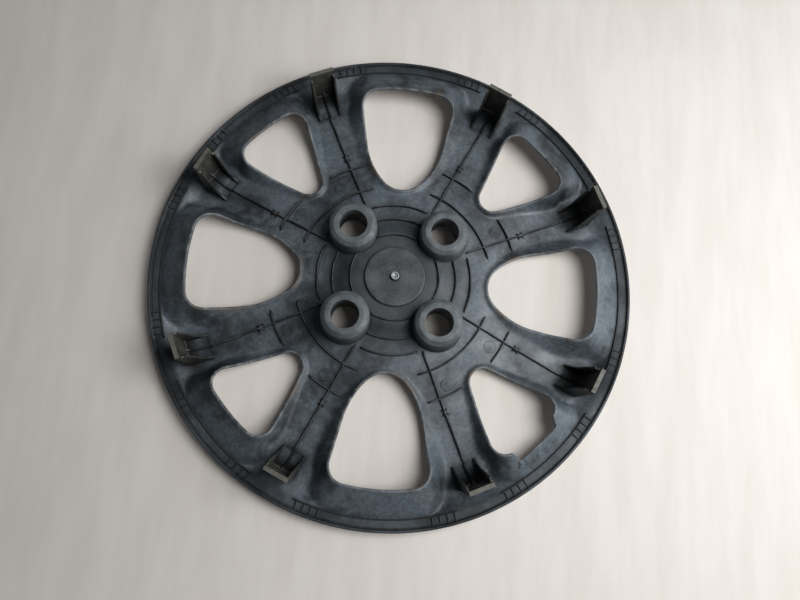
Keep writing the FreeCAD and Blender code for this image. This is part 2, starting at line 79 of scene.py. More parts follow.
# outline of half a window: side lines as (point, angle), corner radii, reach of the raised surround
LARGE_WINDOW = {
    "sides": (((65.2, 0.0), 42.7), ((0.0, 7.35), 11.7)),
    "rounds": (19.9, 62.0, 13.3),
    "reach": 12.4,
    "start": 0.0,
}
SMALL_WINDOW = {
    "sides": (((80.1, 0.0), 24.0),),
    "rounds": (10.6, 10.6),
    "reach": 8.0,
    "start": 45.0,
}
# broken edge of one small window, in that window's own axes
CHIP_ANGLE = 315.0
CHIP_CORNERS = (
    (148.0, -2.0), (154.0, 23.5), (158.3, 20.6), (165.3, 18.4), (166.9, 14.8),
    (167.0, -19.0), (162.4, -19.8), (158.0, -20.4), (156.4, -22.6),
)
BOLT_CIRCLE_RADIUS = 50.0
BORE_RADIUS = 10.7
SLEEVE_FOOT_RADIUS = 19.4
SLEEVE_TOP_RADIUS = 18.4
SLEEVE_TOP = 34.0
DISC_RADIUS = 23.5
DISC_FOOT = 19.0
DISC_TOP = 21.0
RIB_HEIGHT = 2.4
RIB_THICKNESS = 1.2
# ribs in plan: distances from the centre, and angles from the middle between two quarters
SPOKE_RIB_INNER = 61.0
SPOKE_RIB_OUTER = 151.6
SPOKE_RIB_ANGLE = 19.8
CROSS_RIB_RADIUS = 99.6
CROSS_RIB_ANGLES = (8.7, 25.6)
NUB_RADIUS = 110.5
NUB_REACH = 3.25
ARC_RIB_RADIUS = 77.2
ARC_RIB_HALF_ANGLE = 27.2
HUB_RING_RADII = (34.4, 48.4, 60.4)
OUTER_RING_HALF_ANGLE = 21.6
RIM_RIB_THICKNESS = 1.0
RIM_RIB_RADIUS = 181.2
RIM_RIB_TOP = 10.3
RUNG_END_RADIUS = 188.4
RUNG_SPACING_ANGLE = 1.8
RIB_ROOT_DEPTH = 0.9
RIB_TAPER = 2.5
# round marks of the ejector pins
PAD_RADIUS = 5.08
PAD_PLACE_RADIUS = 92.0
PAD_ANGLE = 14.3
CLIP_OFFSET = 20.0
CLIP_WIDTH = 19.0
CLIP_WALL_INNER = 166.2
CLIP_WALL_OUTER = 169.4
CLIP_FOOT = 2.7
CLIP_TOP = 46.5
CHEEK_WALL = 1.3
# inner edge of a clip's cheek from its shoulder to its toe: place and height
CHEEK_EDGE = (
    (165.4, 42.0), (164.2, 40.9), (162.7, 42.4), (159.8, 29.0), (157.8, 15.5), (154.4, 7.6),
    (150.4, 4.2),
)
TOE_BOTTOM = 3.5
# the slope between a clip's cheeks, and the rib that runs up it
RAMP_EDGE = (
    (165.4, 15.0), (164.4, 11.6), (162.6, 8.2), (160.0, 5.3), (156.6, 3.4), (152.0, 2.35),
)
RAMP_BOTTOM = 2.1
RAMP_RIB_TOP = 19.5
RAMP_RIB_REACH = 1.0
RAMP_RIB_RISE = 2.0
# where the shell's mesh has lines of points: beside windows and ribs, and round the axes
WINDOW_MESH_GAPS = (
    0.35, 0.9, 1.5, 2.2, 3.2, 4.4, 6.0, 7.5, 9.0, 10.8, 12.5, 14.5, 17.0, 19.5, 22.0, 25.0,
)
RIB_MESH_GAPS = (-2.4, -1.5, -0.75, 0.75, 1.5, 2.4)
LIP_MESH_RADII = (185.5, 186.6, 187.3, 187.8, 188.15, 188.5, 189.1, 189.7, 190.1)
SLEEVE_MESH_RADII = (19.4, 20.4, 21.6)
DISC_MESH_RADII = (23.0, 23.9, 25.0)
FLOOR_REACH = 2500.0


# ---------------------------------------------------------------- plan geometry
def polar(radius, angle):
    """Plan points at a radius and angle, either of them an array."""
    turn = np.radians(angle)
    return np.stack(np.broadcast_arrays(radius * np.cos(turn), radius * np.sin(turn)), -1)


def rotated(points, angle):
    """Plan points turned about the centre."""
    turn = math.radians(angle)
    cosine, sine = math.cos(turn), math.sin(turn)
    return points @ np.array(((cosine, sine), (-sine, cosine)))


def ramp(value, low, high):
    """0 at low and 1 at high, with a smooth start and end."""
    share = np.clip((value - low) / (high - low), 0.0, 1.0)
    return share * share * (3.0 - 2.0 * share)


def arc(centre, radius, start, end, count=24):
    return np.asarray(centre) + polar(radius, np.linspace(start, end, count))


def line(start, end, step=1.0):
    start, end = np.asarray(start, float), np.asarray(end, float)
    count = max(2, int(np.linalg.norm(end - start) / step) + 1)
    return start + np.linspace(0.0, 1.0, count)[:, None] * (end - start)


def resampled(loop, step):
    """A closed line divided into even steps."""
    closed = np.vstack([loop, loop[:1]])
    along = np.concatenate([[0.0], np.cumsum(np.linalg.norm(np.diff(closed, axis=0), axis=1))])
    places = np.linspace(0.0, along[-1], int(along[-1] / step), endpoint=False)
    return np.stack([np.interp(places, along, closed[:, axis]) for axis in (0, 1)], -1)


def normals_of(loop):
    """Unit vectors to the left of a closed line's direction."""
    forward = np.roll(loop, -1, axis=0) - np.roll(loop, 1, axis=0)
    forward /= np.linalg.norm(forward, axis=1)[:, None]
    return np.stack([-forward[:, 1], forward[:, 0]], -1)


def window_outline(kind, step):
    """Outline of a window in its own axes, clockwise from its tip, and its outward normals."""
    sides = [(np.array(point), angle) for point, angle in kind["sides"]]
    rounds = kind["rounds"]
    slope = sides[0][1]
    tip = sides[0][0] + (rounds[0] / math.sin(math.radians(slope)), 0.0)
    parts = [arc(tip, rounds[0], 180.0, slope + 90.0)]
    for before, after, radius in zip(sides, sides[1:], rounds[1:]):
        start = before[0] - polar(radius, before[1] + 90.0)
        end = after[0] - polar(radius, after[1] + 90.0)
        along, across = polar(1.0, before[1]), polar(1.0, after[1] + 90.0)
        centre = start + along * ((end - start) @ across) / (along @ across)
        parts.append(arc(centre, radius, before[1] + 90.0, after[1] + 90.0))
    point, angle = sides[-1]
    radius = rounds[-1]
    start = point - polar(radius, angle + 90.0)
    along = polar(1.0, angle)
    half = start @ along
    room = (WINDOW_OUTER_RADIUS - radius) ** 2 - start @ start
    corner = start + along * (math.sqrt(half * half + room) - half)
    corner_angle = math.degrees(math.atan2(corner[1], corner[0]))
    parts.append(arc(corner, radius, angle + 90.0, corner_angle))
    parts.append(arc((0.0, 0.0), WINDOW_OUTER_RADIUS, corner_angle, 0.0))
    upper = np.vstack(parts)
    lower = upper[-2:0:-1] * (1.0, -1.0)
    loop = resampled(np.vstack([upper, lower]), step)
    return loop, normals_of(loop)


def nearest(points, targets):
    """Distance to the nearest target and its index, for each point."""
    tree = kdtree.KDTree(len(targets))
    for index, target in enumerate(targets):
        tree.insert((target[0], target[1], 0.0), index)
    tree.balance()
    found = [tree.find((point[0], point[1], 0.0)) for point in points]
    return np.array([hit[2] for hit in found]), np.array([hit[1] for hit in found])


for kind in (LARGE_WINDOW, SMALL_WINDOW):
    kind["fine"] = window_outline(kind, 0.35)


def edge_height(radius):
    """Height of a window's edge at a distance from the centre, with its bends rounded."""
    radii, heights = np.array(EDGE_LINE).T
    shifts = np.linspace(-5.0, 5.0, 5)
    return np.mean([np.interp(radius + shift, radii, heights) for shift in shifts], axis=0)


def window_distance(points, kind):
    """Signed distance to the nearest window of a kind, how far that side faces outwards, edge height."""
    angle = np.degrees(np.arctan2(points[:, 1], points[:, 0])) - kind["start"]
    turn = np.radians(angle - 90.0 * np.round(angle / 90.0))
    radius = np.hypot(points[:, 0], points[:, 1])
    local = np.stack([radius * np.cos(turn), radius * np.sin(turn)], -1)
    outline, outward = kind["fine"]
    distance, index = nearest(local, outline)
    side = np.einsum("ij,ij->i", local - outline[index], outward[index])
    height = edge_height(np.hypot(outline[index, 0], outline[index, 1]))
    return np.where(side < 0.0, -distance, distance), outward[index, 0], height


# ---------------------------------------------------------------- the shell's surfaces
def base_height(radius):
    """Height of the back surface away from the windows, with rounded folds."""
    radii, heights = np.array(BACK_LINE).T
    shifts = np.linspace(-2.2, 2.2, 7)
    return np.mean([np.interp(np.abs(radius + shift), radii, heights) for shift in shifts], axis=0)


def soft_max(a, b, width):
    """The larger of two heights, with a fillet where they cross."""
    return 0.5 * (a + b + np.sqrt((a - b) ** 2 + width * width))


def surface(points):
    """Back height, front height and distance from the nearest window, for plan points."""
    radius = np.hypot(points[:, 0], points[:, 1])
    height = base_height(radius)
    edge = np.full(len(points), 99.0)
    for kind in (LARGE_WINDOW, SMALL_WINDOW):
        distance, facing, crest = window_distance(points, kind)
        reach = kind["reach"] + (SURROUND_OUTER_REACH - kind["reach"]) * ramp(facing, 0.3, 0.95)
        share = (reach - distance) / (reach - WINDOW_EDGE_WIDTH)
        rise = crest - SURROUND_FOOT_HEIGHT
        raised = SURROUND_FOOT_HEIGHT + rise * np.where(share > 0.0, np.minimum(share, 1.0), share * 3.0)
        height = soft_max(height, raised, 0.7)
        edge = np.minimum(edge, distance)
    front = height - WALL
    lip = ramp(radius, LIP_INNER_RADIUS - 0.5, LIP_INNER_RADIUS + 0.2)
    back = height + lip * (LIP_HEIGHT - height)
    worn = np.clip(1.0 - np.minimum(edge, OUTER_RADIUS - radius) / 0.9, 0.0, 1.0) ** 2
    back -= 0.5 * worn
    front += 0.4 * worn
    return back, np.maximum(front, 0.0), edge


# ---------------------------------------------------------------- ribs in plan
def bosses():
    """Centres of the four lug sleeves."""
    return [polar(BOLT_CIRCLE_RADIUS, quarter + 45.0) for quarter in QUARTERS]


def ring_arcs(radius, half, start=0.0):
    """Arcs of one radius, centred on the four quarters."""
    count = max(8, int(math.radians(2 * half) * radius / 1.2))
    return [arc((0.0, 0.0), radius, start + quarter - half, start + quarter + half, count)
            for quarter in QUARTERS]


def clear_half_angle(radius):
    """Half angle of a hub ring's arc that stops at the lug sleeves on either side."""
    reach = BOLT_CIRCLE_RADIUS
    cosine = (radius ** 2 + reach ** 2 - SLEEVE_FOOT_RADIUS ** 2) / (2 * radius * reach)
    return 45.0 - math.degrees(math.acos(cosine)) + 0.8


def spoke_rib_lines(middle, side):
    """Long rib, its cross rib and the two strokes of its X-shaped nub."""
    angle = middle + side * SPOKE_RIB_ANGLE
    lines = [line(polar(SPOKE_RIB_INNER, angle), polar(SPOKE_RIB_OUTER, angle), 1.2)]
    inner, outer = (middle + side * reach for reach in CROSS_RIB_ANGLES)
    lines.append(arc((0.0, 0.0), CROSS_RIB_RADIUS, inner, outer, 24))
    for turn in (45.0, -45.0):
        stroke = line((-NUB_REACH, 0.0), (NUB_REACH, 0.0), 0.8)
        lines.append(rotated(rotated(stroke, turn) + (NUB_RADIUS, 0.0), angle))
    return lines


def clip_axes():
    """Angle of each clip, in the order of the clips' numbers."""
    return [quarter + 45.0 + side * CLIP_OFFSET for quarter in QUARTERS for side in SIDES]


def rim_rib_lines(middle, end, ladder_end):
    """Arc behind a window and the four rungs at each of its ends; ends are half angles."""
    lines = [arc((0.0, 0.0), RIM_RIB_RADIUS, middle - end, middle + end, 60)]
    for side in SIDES:
        for rung in range(4):
            angle = middle + side * (ladder_end - RUNG_SPACING_ANGLE * rung)
            lines.append(line(polar(RIM_RIB_RADIUS, angle), polar(RUNG_END_RADIUS, angle), 1.1))
    return lines


RIBS = {}
for number, angle in enumerate([q + 45.0 for q in QUARTERS for _ in SIDES], start=1):
    RIBS["spoke_rib_%d" % number] = spoke_rib_lines(angle, SIDES[(number - 1) % 2])
for number, points in enumerate(ring_arcs(ARC_RIB_RADIUS, ARC_RIB_HALF_ANGLE, 45.0), start=1):
    RIBS["arc_rib_%d" % number] = [points]
for name, radius in zip(("inner", "middle"), HUB_RING_RADII):
    RIBS["hub_ring_rib_" + name] = ring_arcs(radius, clear_half_angle(radius))
RIBS["hub_ring_rib_outer"] = ring_arcs(HUB_RING_RADII[-1], OUTER_RING_HALF_ANGLE)
RIM_RIBS = {}
for number, middle in enumerate(np.arange(0.0, 360.0, 45.0), start=1):
    ends = (19.6, 18.6) if number % 2 else (14.4, 13.6)
    RIM_RIBS["rim_rib_%d" % number] = rim_rib_lines(middle, *ends)


def dirt_and_shade_lines():
    """Plan points of the dirty lines with painted shade: the feet of ribs, sleeves, disc, lip and clips.
    """
    lines = [points for group in RIBS.values() for points in group]
    lines += [arc(centre, SLEEVE_FOOT_RADIUS, 0.0, 360.0, 120) for centre in bosses()]
    lines.append(arc((0.0, 0.0), DISC_RADIUS, 0.0, 360.0, 150))
    lines.append(arc((0.0, 0.0), LIP_INNER_RADIUS - 0.7, 0.0, 360.0, 1200))
    half = CLIP_WIDTH / 2
    for angle in clip_axes():
        feet = (
            ((CLIP_WALL_INNER, -half), (CLIP_WALL_INNER, half)),
            ((CLIP_WALL_OUTER, -half), (CLIP_WALL_OUTER, half)),
            ((CHEEK_EDGE[-1][0], half), (CLIP_WALL_OUTER, half)),
            ((CHEEK_EDGE[-1][0], -half), (CLIP_WALL_OUTER, -half)),
        )
        lines += [rotated(line(start, end, 0.6), angle) for start, end in feet]
    return np.vstack(lines)


# ---------------------------------------------------------------- mesh helpers
def new_object(name, mesh):
    item = bpy.data.objects.new(name, mesh)
    bpy.context.scene.collection.objects.link(item)
    return item


def mesh_of(name, vertices, faces):
    """Smooth mesh from millimetre vertices."""
    mesh = bpy.data.meshes.new(name)
    mesh.from_pydata((np.asarray(vertices, float) * MM).tolist(), [], faces)
    mesh.validate()
    mesh.shade_smooth()
    return mesh


def add_attribute(mesh, name, values):
    layer = mesh.attributes.new(name, "FLOAT", "POINT")
    layer.data.foreach_set("value", np.asarray(values, np.float32))


def inside_polygon(points, corners):
    """Whether each plan point lies in a polygon."""
    inside = np.zeros(len(points), bool)
    for (x1, y1), (x2, y2) in zip(corners, np.roll(corners, -1, axis=0)):
        crosses = (y1 > points[:, 1]) != (y2 > points[:, 1])
        at = x1 + (points[:, 1] - y1) / (y2 - y1 + 1e-12) * (x2 - x1)
        inside ^= crosses & (points[:, 0] < at)
    return inside


def thinned(points, cell):
    """One point from each cell of a square grid."""
    _, first = np.unique(np.floor(points / cell).astype(int), axis=0, return_index=True)
    return points[np.sort(first)]


# ---------------------------------------------------------------- cover shell
def ragged(corners, step, depth):
    """A broken outline: straight runs divided and shaken a little."""
    loop = resampled(np.asarray(corners, float), step)
    return loop + rng.uniform(-depth, depth, loop.shape)


def shell_plan():
    """Plan triangulation of the shell: points and triangles, with every opening left out."""
    loops = [arc((0.0, 0.0), OUTER_RADIUS, 0.0, 360.0, 721)[:-1]]
    rings = []
    for kind in (LARGE_WINDOW, SMALL_WINDOW):
        outline, outward = window_outline(kind, 1.25)
        for quarter in QUARTERS:
            angle = quarter + kind["start"]
            loops.append(rotated(outline, angle))
            for gap in WINDOW_MESH_GAPS:
                rings.append(rotated(outline + outward * gap, angle))
    loops += [arc(centre, BORE_RADIUS, 0.0, 360.0, 49)[:-1] for centre in bosses()]
    chip = rotated(ragged(CHIP_CORNERS, 1.3, 0.3), CHIP_ANGLE)
    loops.append(chip)
    for radius in LIP_MESH_RADII:
        rings.append(arc((0.0, 0.0), radius, 0.0, 360.0, 721)[:-1])
    near_lines = []
    for group in list(RIBS.values()) + list(RIM_RIBS.values()):
        for points in group:
            forward = np.gradient(points, axis=0)
            across = np.stack([-forward[:, 1], forward[:, 0]], -1)
            across /= np.linalg.norm(across, axis=1)[:, None]
            for gap in RIB_MESH_GAPS:
                near_lines.append(points + across * gap)
    for centre in bosses():
        near_lines += [arc(centre, radius, 0.0, 360.0, 80) for radius in SLEEVE_MESH_RADII]
    for radius in DISC_MESH_RADII:
        near_lines.append(arc((0.0, 0.0), radius, 0.0, 360.0, 100))
    # evenly spaced points over the rest, every other row shifted by half a step
    spacing = 2.3
    columns = np.arange(-OUTER_RADIUS, OUTER_RADIUS, spacing)
    rows = np.arange(-OUTER_RADIUS, OUTER_RADIUS, spacing * 0.866)
    grid_x, grid_y = np.meshgrid(columns, rows)
    grid_x[1::2] += spacing / 2
    grid = np.stack([grid_x.ravel(), grid_y.ravel()], -1)

    fixed = np.vstack(loops)
    accepted = fixed
    for batch, gap in ((np.vstack(rings), 0.3), (np.vstack(near_lines), 0.55), (grid, 1.25)):
        batch = thinned(batch, gap)
        batch = batch[np.hypot(batch[:, 0], batch[:, 1]) < OUTER_RADIUS - 0.25]
        batch = batch[in_material(batch, chip)]
        distance, _ = nearest(batch, accepted)
        accepted = np.vstack([accepted, batch[distance > gap]])
    edges = []
    first = 0
    for loop in loops:
        count = len(loop)
        edges += [(first + index, first + (index + 1) % count) for index in range(count)]
        first += count
    points, _, faces, _, _, _ = delaunay_2d_cdt(
        [Vector(point) for point in accepted], edges, [], 0, 1e-5
    )
    points = np.array(points)
    faces = np.array(faces)
    centres = points[faces].mean(axis=1)
    kept = in_material(centres, chip) & (np.hypot(centres[:, 0], centres[:, 1]) < OUTER_RADIUS)
    faces = faces[kept]
    used, renumbered = np.unique(faces, return_inverse=True)
    return points[used], renumbered.reshape(faces.shape)


def in_material(points, chip):
    """Whether plan points lie on the shell and not in an opening."""
    solid = ~inside_polygon(points, chip)
    for kind in (LARGE_WINDOW, SMALL_WINDOW):
        solid &= window_distance(points, kind)[0] > 0.0
    for centre in bosses():
        solid &= np.linalg.norm(points - centre, axis=1) > BORE_RADIUS
    return solid


def boundary_edges(faces):
    """Directed edges that only one triangle uses."""
    directed = np.vstack([faces[:, (0, 1)], faces[:, (1, 2)], faces[:, (2, 0)]])
    keys = {tuple(edge) for edge in directed.tolist()}
    return [(a, b) for a, b in keys if (b, a) not in keys]


def soot_and_pocket_shade(points):
    """How dark the surface is round the clips, from 0 to 1: sooty smudges, and painted shade in the
    clips' pockets.
    """
    amount = np.zeros(len(points))
    for angle in clip_axes():
        local = rotated(points, -angle)
        beyond = np.maximum(np.abs(local - (160.0, 0.0)) - (7.0, 7.0), 0.0)
        amount = np.maximum(amount, np.exp(-np.linalg.norm(beyond, axis=1) / 6.0))
    return amount


def make_shell():
    points, faces = shell_plan()
    back, front, edge = surface(points)
    count = len(points)
    vertices = np.vstack([np.column_stack([points, back]), np.column_stack([points, front])])
    rim = boundary_edges(faces)
    walls = [(b, a, a + count, b + count) for a, b in rim]
    under = (faces[:, ::-1] + count).tolist()
    mesh = mesh_of("cover_shell_skin", vertices, faces.tolist() + under + walls)
    materials = np.zeros(len(mesh.polygons), np.int32)
    materials[len(faces):2 * len(faces)] = 1
    mesh.polygons.foreach_set("material_index", materials)
    # distance to the dirty lines with painted shade at the feet of ribs, sleeves, disc, lip and clips
    dirt_and_shade_distance, _ = nearest(points, dirt_and_shade_lines())
    chip = rotated(ragged(CHIP_CORNERS, 1.3, 0.0), CHIP_ANGLE)
    chip_distance, _ = nearest(points, chip)
    for name, values in (
        ("edge_gap", np.minimum(edge, 30.0)),
        # distance to the dirty lines with painted shade
        ("dirt_and_shade_gap", np.minimum(dirt_and_shade_distance, 20.0)),
        ("chip_gap", np.minimum(chip_distance, 20.0)),
        # sooty smudges round the clips, and painted shade in their pockets
        ("soot_and_pocket_shade", soot_and_pocket_shade(points)),
    ):
        add_attribute(mesh, name, np.concatenate([values, values]))
    mesh.materials.append(BACK_PLASTIC)
    mesh.materials.append(FRONT_PAINT)
    shell = new_object("cover_shell_skin", mesh)
    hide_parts("cover_shell")
    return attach(shell, "cover")


# ---------------------------------------------------------------- ribs
def sweep(points, thickness, foot, top, taper):
    """Rounded upright rib along an open plan line: vertices and faces.

    foot and top are heights at each point; at both ends the rib runs down over
    the taper's length.
    """
    half = thickness / 2
    section = (
        (-half - 0.12, 0.0), (-half, 0.35), (-half + 0.08, 0.85), (-half + 0.28, 1.0),
        (half - 0.28, 1.0), (half - 0.08, 0.85), (half, 0.35), (half + 0.12, 0.0),
    )
    forward = np.gradient(points, axis=0)
    across = np.stack([-forward[:, 1], forward[:, 0]], -1)
    across /= np.linalg.norm(across, axis=1)[:, None]
    along = np.concatenate([[0.0], np.cumsum(np.linalg.norm(np.diff(points, axis=0), axis=1))])
    ends = np.minimum(along, along[-1] - along)
    share = 0.35 + 0.65 * ramp(ends, 0.0, taper) if taper else np.ones(len(points))
    vertices = []
    for place, side, low, high, part in zip(points, across, foot, top, share):
        for offset, level in section:
            height = low + (high - low) * part * level
            vertices.append((*(place + side * offset), height))
    width = len(section)
    faces = []
    for row in range(len(points) - 1):
        for column in range(width - 1):
            start = row * width + column
            faces.append((start, start + 1, start + width + 1, start + width))
    last = (len(points) - 1) * width
    faces.append(tuple(range(width))[::-1])
    faces.append(tuple(last + column for column in range(width)))
    return vertices, faces


def joined(pieces):
    """Several (vertices, faces) lists as one."""
    vertices, faces = [], []
    for more_vertices, more_faces in pieces:
        shift = len(vertices)
        vertices += list(more_vertices)
        faces += [tuple(index + shift for index in face) for face in more_faces]
    return vertices, faces


def make_ribs(node, lines, thickness, heights, taper, look):
    """One piece for all ribs of a CAD node; heights gives foot and top for plan points."""
    pieces = []
    for points in lines:
        foot, top = heights(points)
        pieces.append(sweep(points, thickness, foot, top, taper))
    mesh = mesh_of(node + "_moulded", *joined(pieces))
    mesh.materials.append(look)
    item = new_object(node + "_moulded", mesh)
    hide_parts(node)
    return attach(item, "cover")


def low_rib_heights(points):
    base = base_height(np.hypot(points[:, 0], points[:, 1]))
    return base - RIB_ROOT_DEPTH, base + RIB_HEIGHT


def rim_rib_heights(points):
    base = base_height(np.hypot(points[:, 0], points[:, 1]))
    return base - RIB_ROOT_DEPTH, np.full(len(points), RIM_RIB_TOP)


# ---------------------------------------------------------------- turned pieces
def lathe(profile, centre, segments):
    """Mesh data of a closed profile of (radius, height) turned about an upright axis."""
    angles = np.linspace(0.0, 360.0, segments, endpoint=False)
    vertices = []
    for angle in angles:
        for radius, height in profile:
            vertices.append((*(np.asarray(centre) + polar(radius, angle)), height))
    width = len(profile)
    faces = []
    for row in range(segments):
        following = (row + 1) % segments
        for column in range(width):
            beside = (column + 1) % width
            faces.append((
                row * width + column, following * width + column,
                following * width + beside, row * width + beside,
            ))
    return vertices, faces


def rounded_profile(corners, radii, steps=4):
    """A closed profile with each corner replaced by a short curve."""
    corners = np.asarray(corners, float)
    out = []
    for index, radius in enumerate(radii):
        corner = corners[index]
        before = corners[index - 1] - corner
        after = corners[(index + 1) % len(corners)] - corner
        if radius == 0.0:
            out.append(corner)
            continue
        start = corner + before / np.linalg.norm(before) * radius
        end = corner + after / np.linalg.norm(after) * radius
        for share in np.linspace(0.0, 1.0, steps + 1):
            out.append((1 - share) ** 2 * start + 2 * share * (1 - share) * corner + share ** 2 * end)
    return out


def make_sleeve(number, centre):
    corners = (
        (BORE_RADIUS, 11.2), (BORE_RADIUS, SLEEVE_TOP), (15.0, SLEEVE_TOP),
        (SLEEVE_TOP_RADIUS, SLEEVE_TOP - 2.6), (SLEEVE_FOOT_RADIUS, 14.5),
        (SLEEVE_FOOT_RADIUS + 1.2, 11.2),
    )
    profile = rounded_profile(corners, (0.0, 0.4, 0.7, 1.1, 1.5, 0.0))
    mesh = mesh_of("lug_sleeve_%d_moulded" % number, *lathe(profile, centre, 72))
    mesh.materials.append(SLEEVE_PLASTIC)
    item = new_object("lug_sleeve_%d_moulded" % number, mesh)
    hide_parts("lug_sleeve_%d" % number)
    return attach(item, "cover")


def make_disc():
    ripples = [(radius, DISC_TOP - 0.03 + 0.012 * math.cos(radius * 2.1)) for radius in
               np.arange(4.6, DISC_RADIUS - 0.8, 0.5)]
    profile = [(0.01, DISC_FOOT), (0.01, DISC_TOP - 0.35), (3.9, DISC_TOP - 0.35), (4.3, DISC_TOP)]
    profile += ripples
    profile += [(DISC_RADIUS - 0.35, DISC_TOP - 0.05), (DISC_RADIUS - 0.08, DISC_TOP - 0.3)]
    profile += [(DISC_RADIUS, DISC_TOP - 0.7), (DISC_RADIUS, DISC_FOOT)]
    mesh = mesh_of("centre_disc_moulded", *lathe(profile, (0.0, 0.0), 128))
    mesh.materials.append(DISC_PLASTIC)
    item = new_object("centre_disc_moulded", mesh)
    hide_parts("centre_disc")
    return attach(item, "cover")


def make_stub():
    top = DISC_TOP + 2.6
    corners = ((0.01, DISC_TOP - 0.5), (0.01, top - 0.9), (1.9, top - 0.7), (2.3, top), (3.2, top),
               (3.6, DISC_TOP - 0.5))
    profile = rounded_profile(corners, (0.0, 0.0, 0.3, 0.25, 0.4, 0.0))
    mesh = mesh_of("sprue_stub_moulded", *lathe(profile, (0.0, 0.0), 48))
    mesh.materials.append(STUB_PLASTIC)
    item = new_object("sprue_stub_moulded", mesh)
    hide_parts("sprue_stub")
    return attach(item, "cover")


def make_pads():
    """Round marks of the ejector pins, standing a hair proud of the surface."""
    pieces = []
    radii = (0.0, 2.5, 4.4, 4.8, 5.0, PAD_RADIUS)
    drops = (0.28, 0.28, 0.28, 0.26, 0.14, -0.6)
    for quarter in QUARTERS:
        for side in SIDES:
            centre = polar(PAD_PLACE_RADIUS, quarter + 45.0 + side * PAD_ANGLE)
            vertices, faces = [], []
            for radius, drop in zip(radii, drops):
                ring = centre + polar(radius, np.linspace(0.0, 360.0, 48, endpoint=False))
                level = base_height(np.hypot(ring[:, 0], ring[:, 1])) + drop
                vertices += [(x, y, z) for (x, y), z in zip(ring, level)]
            for row in range(len(radii) - 1):
                for column in range(48):
                    beside = (column + 1) % 48
                    faces.append((row * 48 + column, (row + 1) * 48 + column,
                                  (row + 1) * 48 + beside, row * 48 + beside))
            pieces.append((vertices, faces))
    mesh = mesh_of("ejector_pads_moulded", *joined(pieces))
    mesh.materials.append(PAD_PLASTIC)
    item = new_object("ejector_pads_moulded", mesh)
    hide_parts("ejector_pads")
    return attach(item, "cover")


# ---------------------------------------------------------------- clips
def plate(outline, low, high, axes):
    """Closed prism: outline in two axes, from low to high along the third."""
    build = bmesh.new()
    levels = []
    for level in (low, high):
        row = []
        for first, second in outline:
            place = [0.0, 0.0, 0.0]
            place[axes[0]] = first
            place[axes[1]] = second
            place[3 - axes[0] - axes[1]] = level
            row.append(build.verts.new(place))
        levels.append(row)
    build.faces.new(levels[0])
    build.faces.new(levels[1][::-1])
    count = len(outline)
    for index in range(count):
        beside = (index + 1) % count
        build.faces.new((levels[0][index], levels[0][beside], levels[1][beside], levels[1][index]))
    bmesh.ops.recalc_face_normals(build, faces=build.faces)
    mesh = bpy.data.meshes.new("plate")
    build.to_mesh(mesh)
    build.free()
    return mesh


def clip_ramp(reach, rise, top):
    """Outline of the slope from a clip's wall to the spoke, moved inwards by reach and up by rise."""
    middle = CLIP_WALL_INNER + 1.2
    front = [(place - reach, height + rise) for place, height in RAMP_EDGE]
    toe = (front[-1][0], RAMP_BOTTOM)
    return [(middle, CLIP_FOOT), (middle, top), (CLIP_WALL_INNER, top)] + front + [toe]


def clip_mesh():
    """One clip on the +X axis, in millimetres: wall, ribbed slope at its foot, and two cheeks."""
    half = CLIP_WIDTH / 2
    wall = (
        (CLIP_WALL_INNER, CLIP_FOOT), (CLIP_WALL_INNER + 0.1, CLIP_TOP), (CLIP_WALL_OUTER, CLIP_TOP),
        (CLIP_WALL_OUTER, CLIP_FOOT),
    )
    root = CLIP_WALL_INNER + 1.0
    cheek = ((root, CLIP_FOOT), (root, 42.0)) + CHEEK_EDGE + ((CHEEK_EDGE[-1][0], TOE_BOTTOM),)
    blocks = [(wall, half), (clip_ramp(0.0, 0.0, RAMP_EDGE[0][1]), half - CHEEK_WALL / 2)]
    rib = clip_ramp(RAMP_RIB_REACH, RAMP_RIB_RISE, RAMP_RIB_TOP)
    blocks.append((rib, RIB_THICKNESS / 2))
    plates = [plate(outline, -reach, reach, (0, 2)) for outline, reach in blocks]
    plates.append(plate(cheek, -half, CHEEK_WALL - half, (0, 2)))
    plates.append(plate(cheek, half - CHEEK_WALL, half, (0, 2)))
    main, *tools = [new_object("clip_build", mesh) for mesh in plates]
    for tool in tools:
        union = main.modifiers.new("join", "BOOLEAN")
        union.operation = "UNION"
        union.object = tool
    soften = main.modifiers.new("soften", "BEVEL")
    soften.width = 0.3
    soften.segments = 3
    soften.limit_method = "ANGLE"
    soften.angle_limit = math.radians(35)
    bpy.context.view_layer.update()
    made = bpy.data.meshes.new_from_object(main.evaluated_get(bpy.context.evaluated_depsgraph_get()))
    for item in [main] + tools:
        bpy.data.objects.remove(item)
    build = bmesh.new()
    build.from_mesh(made)
    for height in list(np.arange(4.0, 16.0, 1.5)) + list(np.arange(19.0, 45.0, 4.0)):
        everything = list(build.verts) + list(build.edges) + list(build.faces)
        bmesh.ops.bisect_plane(build, geom=everything, plane_co=(0, 0, height), plane_no=(0, 0, 1))
    for vertex in build.verts:
        x, y, z = vertex.co
        vertex.co.x = x - (CLIP_WALL_OUTER - math.sqrt(CLIP_WALL_OUTER ** 2 - y * y))
    build.to_mesh(made)
    build.free()
    add_attribute(made, "middle_gap", [abs(vertex.co.y) for vertex in made.vertices])
    made.transform(Matrix.Scale(MM, 4))
    made.shade_smooth()
    return made


def make_clips():
    """The eight clips, each a copy of one clip turned to its place."""
    template = clip_mesh()
    for number, angle in enumerate(clip_axes(), start=1):
        mesh = template.copy()
        mesh.name = "retaining_clip_%d_moulded" % number
        mesh.transform(Matrix.Rotation(math.radians(angle), 4, "Z"))
        mesh.materials.append(CLIP_PLASTIC)
        item = new_object("retaining_clip_%d_moulded" % number, mesh)
        shade = item.modifiers.new("shade", "WEIGHTED_NORMAL")
        shade.keep_sharp = False
        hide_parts("retaining_clip_%d" % number)
        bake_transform(item)


